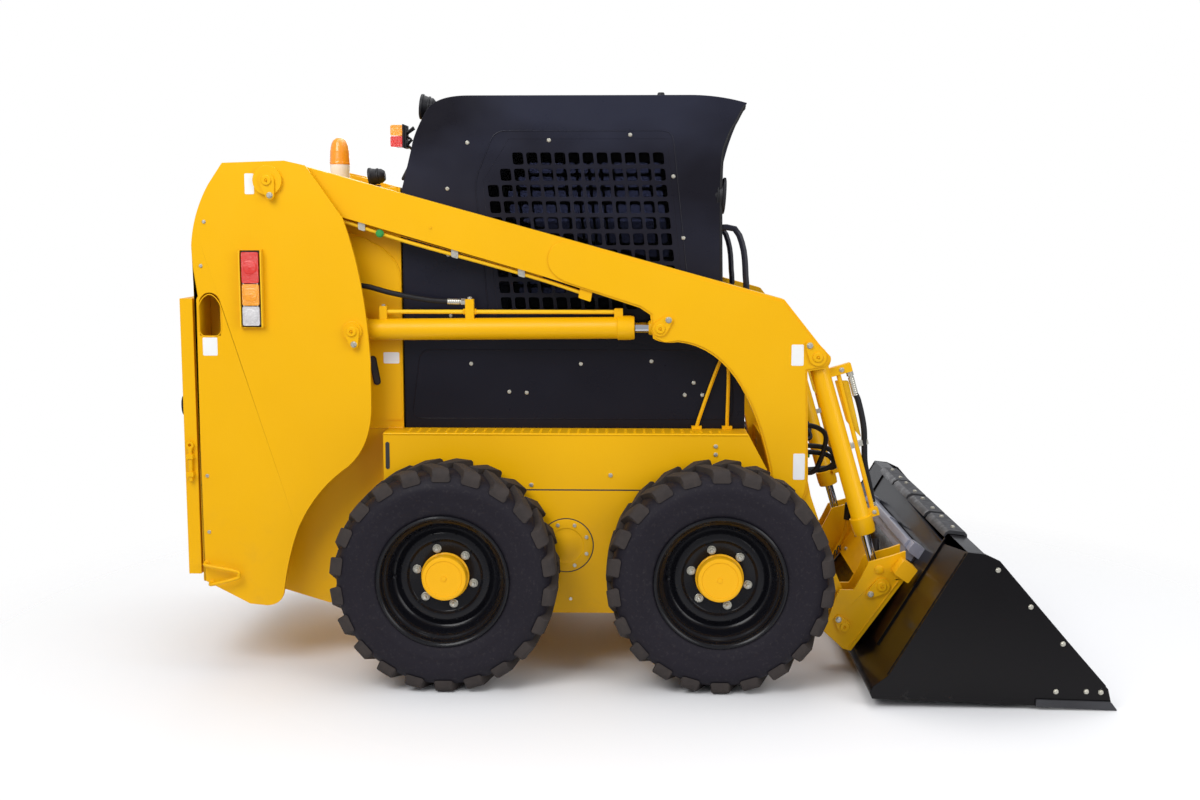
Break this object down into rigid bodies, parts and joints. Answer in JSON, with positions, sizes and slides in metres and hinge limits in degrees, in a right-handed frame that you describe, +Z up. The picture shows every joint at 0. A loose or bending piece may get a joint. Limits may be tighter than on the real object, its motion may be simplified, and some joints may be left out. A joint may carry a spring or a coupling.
{
  "type": "skid steer loader",
  "caption": "Skid steer loader with solid-sided cab, radial lift arms, coupled lift and tilt cylinders and a bucket on a tilting hitch.",
  "frame": {"origin": "bottom centre of the bounding box, on the ground", "axes": "+X forward, towards the bucket; +Y to the machine's left; +Z up"},
  "size_m": [3.143, 1.8, 2.016],
  "materials": {
    "body_yellow": "gloss",
    "cab_black": "satin",
    "bucket_black": "gloss",
    "rim_black": "gloss",
    "tyre": "matte",
    "rod_steel": "polished",
    "dark_iron": "satin",
    "seat_vinyl": "matte",
    "amber_lens": "gloss",
    "lamp_lens": "gloss"
  },
  "bodies": {
    "chassis": {"chassis_frame": "body_yellow", "engine_block": "dark_iron", "upright_right": "body_yellow", "upright_left": "body_yellow", "tail_lamp_right": "lamp_lens", "tail_lamp_left": "lamp_lens", "door_hinge_1": "body_yellow", "door_hinge_2": "body_yellow", "hood_hinge_rail": "body_yellow", "cab_side_right": "cab_black", "cab_side_left": "cab_black", "side_screen_right": "cab_black", "side_screen_left": "cab_black", "cab_roof": "cab_black", "cab_back": "cab_black", "seat_box": "cab_black", "seat_base": "cab_black", "seat_cushion": "seat_vinyl", "seat_backrest": "seat_vinyl", "control_lever_right": "dark_iron", "control_lever_left": "dark_iron", "pedal_right": "dark_iron", "pedal_left": "dark_iron", "grab_handle_right": "cab_black", "grab_handle_left": "cab_black", "entry_rail_right": "body_yellow", "entry_rail_left": "body_yellow", "stub_axle_rear_right": "dark_iron", "stub_axle_rear_left": "dark_iron", "stub_axle_front_right": "dark_iron", "stub_axle_front_left": "dark_iron"},
    "rear_door": {"rear_door": "body_yellow"},
    "hood": {"hood": "body_yellow", "beacon": "amber_lens"},
    "lift_arm": {"lift_arm_right": "body_yellow", "lift_arm_left": "body_yellow", "arm_crossmember": "body_yellow"},
    "bucket": {"hitch_frame": "body_yellow", "bucket": "bucket_black"},
    "lift_barrel_right": {"lift_barrel_right": "body_yellow"},
    "lift_rod_right": {"lift_rod_right": "rod_steel"},
    "tilt_barrel_right": {"tilt_barrel_right": "body_yellow"},
    "tilt_rod_right": {"tilt_rod_right": "rod_steel"},
    "lift_barrel_left": {"lift_barrel_left": "body_yellow"},
    "lift_rod_left": {"lift_rod_left": "rod_steel"},
    "tilt_barrel_left": {"tilt_barrel_left": "body_yellow"},
    "tilt_rod_left": {"tilt_rod_left": "rod_steel"},
    "wheel_rear_right": {"tyre_rear_right": "tyre", "rim_rear_right": "rim_black"},
    "wheel_rear_left": {"tyre_rear_left": "tyre", "rim_rear_left": "rim_black"},
    "wheel_front_right": {"tyre_front_right": "tyre", "rim_front_right": "rim_black"},
    "wheel_front_left": {"tyre_front_left": "tyre", "rim_front_left": "rim_black"}
  },
  "joints": [
    {"name": "lift", "type": "hinge", "parent": "chassis", "child": "lift_arm", "pos_m": [-1.2535, 0, 1.719], "axis": [0, -1, 0], "range_deg": [0, 63]},
    {"name": "bucket_tilt", "type": "hinge", "parent": "lift_arm", "child": "bucket", "pos_m": [0.7345, 0, 0.17], "axis": [0, 1, 0], "range_deg": [-20, 95]},
    {"name": "rear_door_swing", "type": "hinge", "parent": "chassis", "child": "rear_door", "pos_m": [-1.5455, 0.573, 0.8], "axis": [0, 0, -1], "range_deg": [0, 105]},
    {"name": "hood_lift", "type": "hinge", "parent": "chassis", "child": "hood", "pos_m": [-0.8375, 0, 1.7], "axis": [0, 1, 0], "range_deg": [0, 50]},
    {"name": "lift_barrel_swing_right", "type": "hinge", "parent": "chassis", "child": "lift_barrel_right", "pos_m": [-0.9755, -0.475, 1.206], "axis": [0, -1, 0], "range_deg": [0, 61.76]},
    {"name": "lift_rod_slide_right", "type": "slide", "parent": "lift_barrel_right", "child": "lift_rod_right", "axis": [1, 0, 0.0085], "range_m": [0, 0.6095]},
    {"name": "tilt_barrel_swing_right", "type": "hinge", "parent": "lift_arm", "child": "tilt_barrel_right", "pos_m": [0.6245, -0.475, 1.118], "axis": [0, 1, 0], "range_deg": [-0.29, 1.19]},
    {"name": "tilt_rod_slide_right", "type": "slide", "parent": "tilt_barrel_right", "child": "tilt_rod_right", "axis": [0.2823, 0, -0.9593], "range_m": [-0.0557, 0.2625]},
    {"name": "lift_barrel_swing_left", "type": "hinge", "parent": "chassis", "child": "lift_barrel_left", "pos_m": [-0.9755, 0.475, 1.206], "axis": [0, -1, 0], "range_deg": [0, 61.76]},
    {"name": "lift_rod_slide_left", "type": "slide", "parent": "lift_barrel_left", "child": "lift_rod_left", "axis": [1, 0, 0.0085], "range_m": [0, 0.6095]},
    {"name": "tilt_barrel_swing_left", "type": "hinge", "parent": "lift_arm", "child": "tilt_barrel_left", "pos_m": [0.6245, 0.475, 1.118], "axis": [0, 1, 0], "range_deg": [-0.29, 1.19]},
    {"name": "tilt_rod_slide_left", "type": "slide", "parent": "tilt_barrel_left", "child": "tilt_rod_left", "axis": [0.2823, 0, -0.9593], "range_m": [-0.0557, 0.2625]},
    {"name": "wheel_rear_right_turn", "type": "hinge", "parent": "chassis", "child": "wheel_rear_right", "pos_m": [-0.6455, -0.668, 0.38453], "axis": [0, 1, 0], "continuous": true},
    {"name": "wheel_rear_left_turn", "type": "hinge", "parent": "chassis", "child": "wheel_rear_left", "pos_m": [-0.6455, 0.668, 0.38453], "axis": [0, 1, 0], "continuous": true},
    {"name": "wheel_front_right_turn", "type": "hinge", "parent": "chassis", "child": "wheel_front_right", "pos_m": [0.2845, -0.668, 0.38453], "axis": [0, 1, 0], "continuous": true},
    {"name": "wheel_front_left_turn", "type": "hinge", "parent": "chassis", "child": "wheel_front_left", "pos_m": [0.2845, 0.668, 0.38453], "axis": [0, 1, 0], "continuous": true}
  ],
  "couplings": [
    {"joint": "lift_barrel_swing_right", "follows": "lift", "ratio": 0.9795},
    {"joint": "lift_rod_slide_right", "follows": "lift", "m_per_rad": 0.55386},
    {"joint": "tilt_barrel_swing_right", "follows": "bucket_tilt", "ratio": 0.012},
    {"joint": "tilt_rod_slide_right", "follows": "bucket_tilt", "m_per_rad": 0.158},
    {"joint": "lift_barrel_swing_left", "follows": "lift", "ratio": 0.9795},
    {"joint": "lift_rod_slide_left", "follows": "lift", "m_per_rad": 0.55386},
    {"joint": "tilt_barrel_swing_left", "follows": "bucket_tilt", "ratio": 0.012},
    {"joint": "tilt_rod_slide_left", "follows": "bucket_tilt", "m_per_rad": 0.158}
  ]
}
